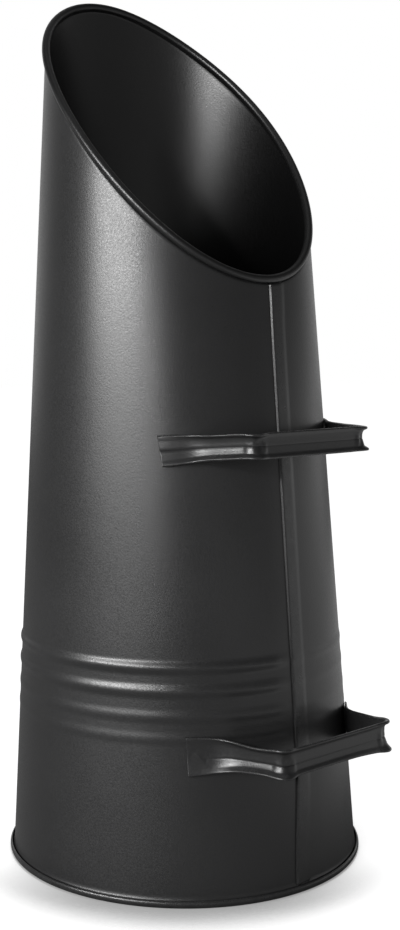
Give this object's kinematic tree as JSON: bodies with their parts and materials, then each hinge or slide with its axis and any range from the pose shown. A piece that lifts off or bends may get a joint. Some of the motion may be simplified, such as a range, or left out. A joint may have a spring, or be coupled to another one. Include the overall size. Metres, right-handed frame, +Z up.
{
  "type": "coal scuttle",
  "caption": "Tall tapered sheet-steel hod with a slanting wire-edged mouth, ring beads, a folded base rim and pressed strip handles over the upright seam.",
  "frame": {"origin": "middle of the base's underside, on the floor", "axes": "+Z up along the body, +X towards the seam, the low side of the mouth and both handles"},
  "size_m": [0.2246, 0.2044, 0.4956],
  "materials": {
    "black_paint": "satin black paint with a fine grain",
    "wire_steel": "bare drawn wire, hidden inside the curled edge"
  },
  "bodies": {
    "root": {"base_disc": "black_paint", "body_shell": "black_paint", "mouth_wire": "wire_steel", "lower_handle": "black_paint", "upper_handle": "black_paint"}
  },
  "joints": []
}
